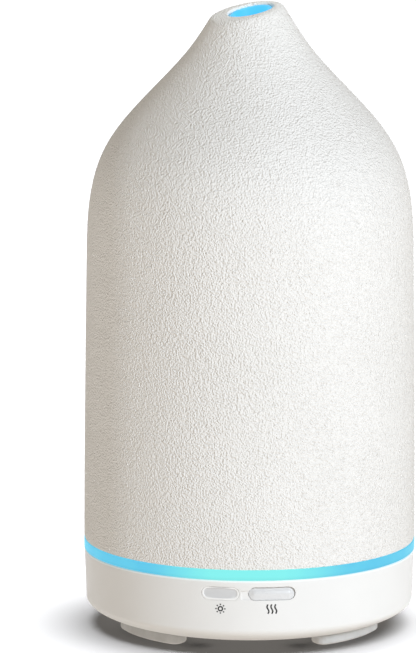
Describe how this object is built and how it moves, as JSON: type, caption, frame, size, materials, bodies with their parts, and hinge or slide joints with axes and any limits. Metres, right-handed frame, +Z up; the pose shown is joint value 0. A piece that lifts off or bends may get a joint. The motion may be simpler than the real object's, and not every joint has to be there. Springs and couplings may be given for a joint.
{
  "type": "essential oil diffuser",
  "caption": "Ultrasonic oil diffuser: round lit base with tank, fan and mist disc, inner lid with chimney, and a lift-off pebbled bottle-shaped cover with a slanted mouth.",
  "frame": {"origin": "on the table under the vertical axis, at the soles of the feet", "axes": "+Z up along the axis; -Y towards the front, where the buttons are; +X to the right as seen from the front"},
  "size_m": [0.095, 0.095, 0.18],
  "materials": {
    "stone": "matt, fine pebbled texture, warm off-white",
    "frosted_plastic": "translucent frosted polypropylene",
    "light_ring": "translucent diffuser, lit cyan from inside",
    "white_plastic": "satin warm off-white moulding",
    "key_plastic": "satin light grey moulding",
    "silicone": "soft translucent white-grey silicone",
    "grey_rubber": "matt grey silicone",
    "steel": "zinc-plated",
    "black_plastic": "satin black moulding",
    "circuit_board": "green solder mask",
    "piezo_ceramic": "fired ceramic with a metallised ring",
    "led_lens": "clear resin over phosphor",
    "copper": "enamelled copper winding",
    "aluminium": "drawn can",
    "connector_plastic": "natural nylon",
    "red_lead": "red PVC insulation",
    "black_lead": "black PVC insulation"
  },
  "bodies": {
    "base": {"base_housing": "white_plastic", "light_ring": "light_ring", "base_gasket": "grey_rubber", "water_tank": "frosted_plastic", "foot_front_left": "silicone", "foot_front_right": "silicone", "foot_rear_right": "silicone", "foot_rear_left": "silicone", "housing_screw_1": "steel", "housing_screw_2": "steel", "housing_screw_3": "steel", "housing_screw_4": "steel", "clamp_screw_1": "steel", "clamp_screw_2": "steel", "clamp_screw_3": "steel", "fan_screw_1": "steel", "fan_screw_2": "steel", "pcb_screw_1": "steel", "pcb_screw_2": "steel", "light_switch": "black_plastic", "mist_switch": "black_plastic", "switch_board": "circuit_board", "piezo_disc": "piezo_ceramic", "piezo_seal": "grey_rubber", "piezo_clamp": "white_plastic", "led_board": "circuit_board", "led_1": "led_lens", "led_2": "led_lens", "led_3": "led_lens", "led_4": "led_lens", "led_5": "led_lens", "led_6": "led_lens", "fan_housing": "black_plastic", "air_duct": "white_plastic", "main_board": "circuit_board", "dc_inlet": "black_plastic", "dc_inlet_pin": "steel", "boost_coil": "copper", "capacitor_1": "aluminium", "capacitor_2": "aluminium", "control_chip": "black_plastic", "driver_transistor": "black_plastic", "piezo_connector": "connector_plastic", "fan_connector": "connector_plastic", "led_connector": "connector_plastic", "switch_connector": "connector_plastic", "piezo_lead": "red_lead", "fan_lead": "black_lead", "led_lead": "black_lead", "switch_lead": "black_lead"},
    "lid": {"inner_lid": "frosted_plastic"},
    "cover": {"outer_cover": "stone"},
    "fan": {"fan_rotor": "black_plastic"},
    "light_key": {"light_button": "key_plastic", "light_switch_plunger": "grey_rubber"},
    "mist_key": {"mist_button": "key_plastic", "mist_switch_plunger": "grey_rubber"}
  },
  "joints": [
    {"name": "lid_lift", "type": "slide", "parent": "base", "child": "lid", "axis": [0, 0, 1], "range_m": [0, 0.08]},
    {"name": "cover_lift", "type": "slide", "parent": "lid", "child": "cover", "axis": [0, 0, 1], "range_m": [0, 0.17]},
    {"name": "fan_spin", "type": "hinge", "parent": "base", "child": "fan", "pos_m": [0, -0.015, 0.0103], "axis": [0, 0, 1], "continuous": true},
    {"name": "light_press", "type": "slide", "parent": "base", "child": "light_key", "axis": [0, 1, 0], "range_m": [0, 0.0005], "stiffness_N_per_m": 1500},
    {"name": "mist_press", "type": "slide", "parent": "base", "child": "mist_key", "axis": [0, 1, 0], "range_m": [0, 0.0005], "stiffness_N_per_m": 1500}
  ]
}
